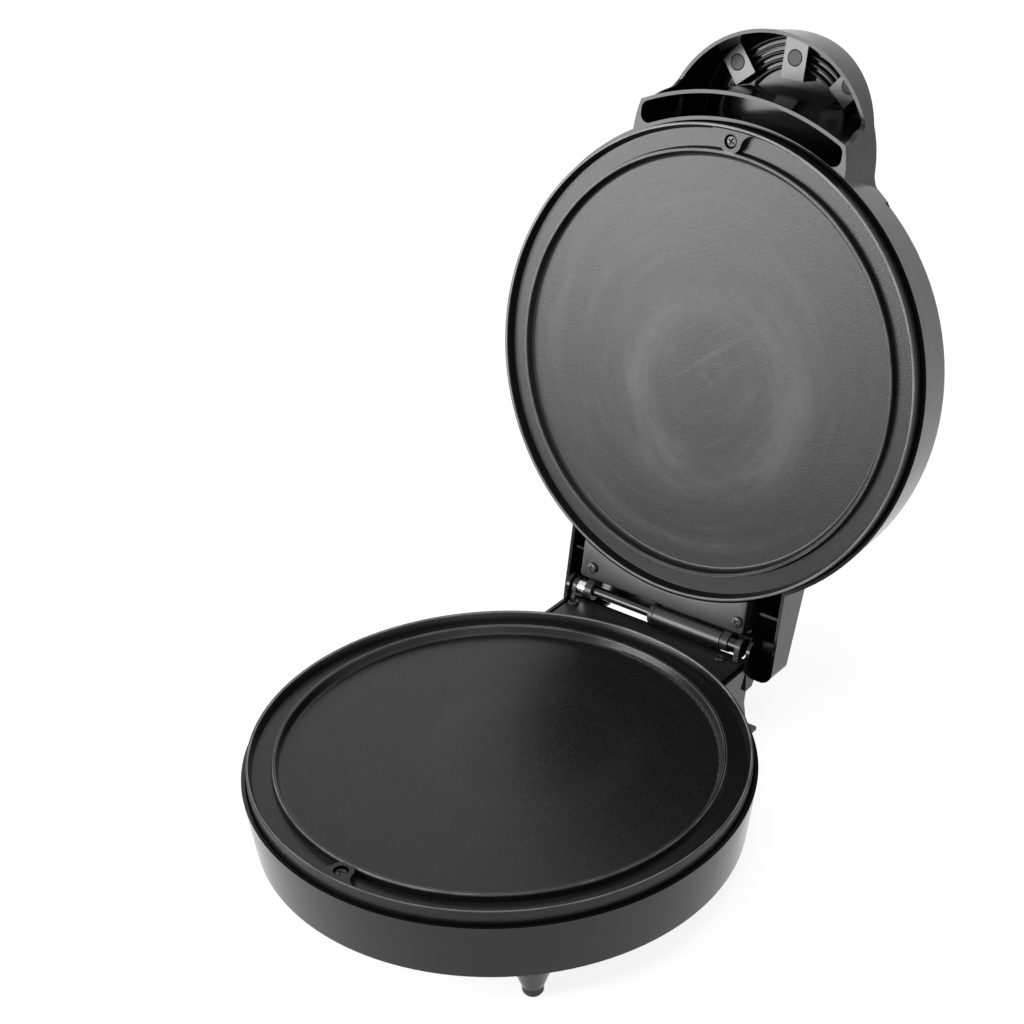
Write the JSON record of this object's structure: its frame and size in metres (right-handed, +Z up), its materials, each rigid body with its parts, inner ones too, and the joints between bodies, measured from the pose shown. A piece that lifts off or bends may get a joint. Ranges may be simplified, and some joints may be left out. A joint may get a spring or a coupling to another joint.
{
  "type": "electric pizza maker",
  "caption": "Round electric pizza maker with hinged lid shown open, two flat baking plates, moulded handle, signal lenses, rear stand and coiled cord.",
  "frame": {"origin": "on the table, under the middle of the box round the open machine without its cord", "axes": "+X to the right seen from the handle, +Y from the handle towards the hinge, +Z up"},
  "size_m": [0.3426, 0.6392, 0.4853],
  "materials": {
    "housing_black": "glossy black moulded plastic",
    "nonstick_coat": "dark grey non-stick coat on cast aluminium",
    "reflector_sheet": "plain rolled sheet",
    "element_sheath": "dull steel sheath",
    "ceramic": "off-white ceramic",
    "wire_sleeve": "glass fibre wire sleeve",
    "hinge_cover": "satin dark grey",
    "screw_dark": "blackened steel",
    "rod_steel": "dark polished steel",
    "sleeve_steel": "dark brushed steel",
    "bush_steel": "bright steel",
    "foot_rubber": "black rubber",
    "stand_black": "satin black",
    "cord_jacket": "black cord jacket",
    "pin_metal": "bright plated brass",
    "lens_red": "clear red",
    "lens_green": "clear green",
    "lamp_glass": "clear glass"
  },
  "bodies": {
    "base": {"base_housing": "housing_black", "lower_plate": "nonstick_coat", "lower_plate_screw": "screw_dark", "lower_reflector": "reflector_sheet", "lower_element": "element_sheath", "lower_insulators": "ceramic", "lower_clamps": "reflector_sheet", "thermal_fuse": "ceramic", "terminal_block": "ceramic", "base_wires": "wire_sleeve", "base_hinge_deck": "hinge_cover", "deck_screws": "screw_dark", "hinge_rod": "rod_steel", "hinge_sleeve": "sleeve_steel", "hinge_collar": "hinge_cover", "hinge_bushes": "bush_steel", "front_feet": "foot_rubber", "rear_stand": "stand_black", "stand_screws": "screw_dark", "strain_relief": "cord_jacket", "power_cord": "cord_jacket", "cord_coil": "cord_jacket", "plug": "cord_jacket", "plug_pins": "pin_metal"},
    "lid": {"lid_housing": "housing_black", "upper_plate": "nonstick_coat", "upper_plate_screw": "screw_dark", "upper_reflector": "reflector_sheet", "upper_element": "element_sheath", "upper_insulators": "ceramic", "upper_clamps": "reflector_sheet", "thermostat": "ceramic", "lid_hinge_plate": "hinge_cover", "lid_hinge_screws": "screw_dark", "power_lens": "lens_red", "ready_lens": "lens_green", "lamp_carrier": "stand_black", "neon_lamps": "lamp_glass", "lid_wires": "wire_sleeve"}
  },
  "joints": [
    {"name": "lid_hinge", "type": "hinge", "parent": "base", "child": "lid", "pos_m": [0, 0.0966, 0.0841], "axis": [1, 0, 0], "range_deg": [0, 102.5]}
  ]
}
